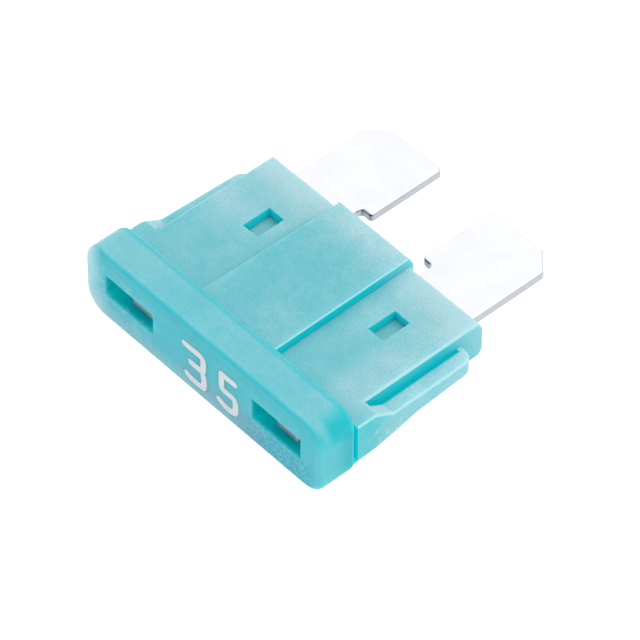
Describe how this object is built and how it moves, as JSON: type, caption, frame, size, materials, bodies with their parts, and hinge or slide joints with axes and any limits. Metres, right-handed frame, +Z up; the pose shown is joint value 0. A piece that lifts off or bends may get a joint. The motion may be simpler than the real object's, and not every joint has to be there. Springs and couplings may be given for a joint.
{
  "type": "plug-in blade fuse",
  "caption": "Medium plug-in blade fuse: a flat translucent moulded housing with a thick rounded head, side guide rails and probe slots, round a stamped strip with parallel blades.",
  "frame": {"origin": "on the plane the fuse lies on, under the middle of its length and width", "axes": "+X across the blades, +Y from the head to the blade tips, +Z up through the thickness"},
  "size_m": [0.0194, 0.0194, 0.0051],
  "materials": {
    "housing": "translucent blue-green moulding, lightly satin",
    "fuse_strip": "plated, semi-bright"
  },
  "bodies": {
    "root": {"housing": "housing", "fuse_strip": "fuse_strip"}
  },
  "joints": []
}
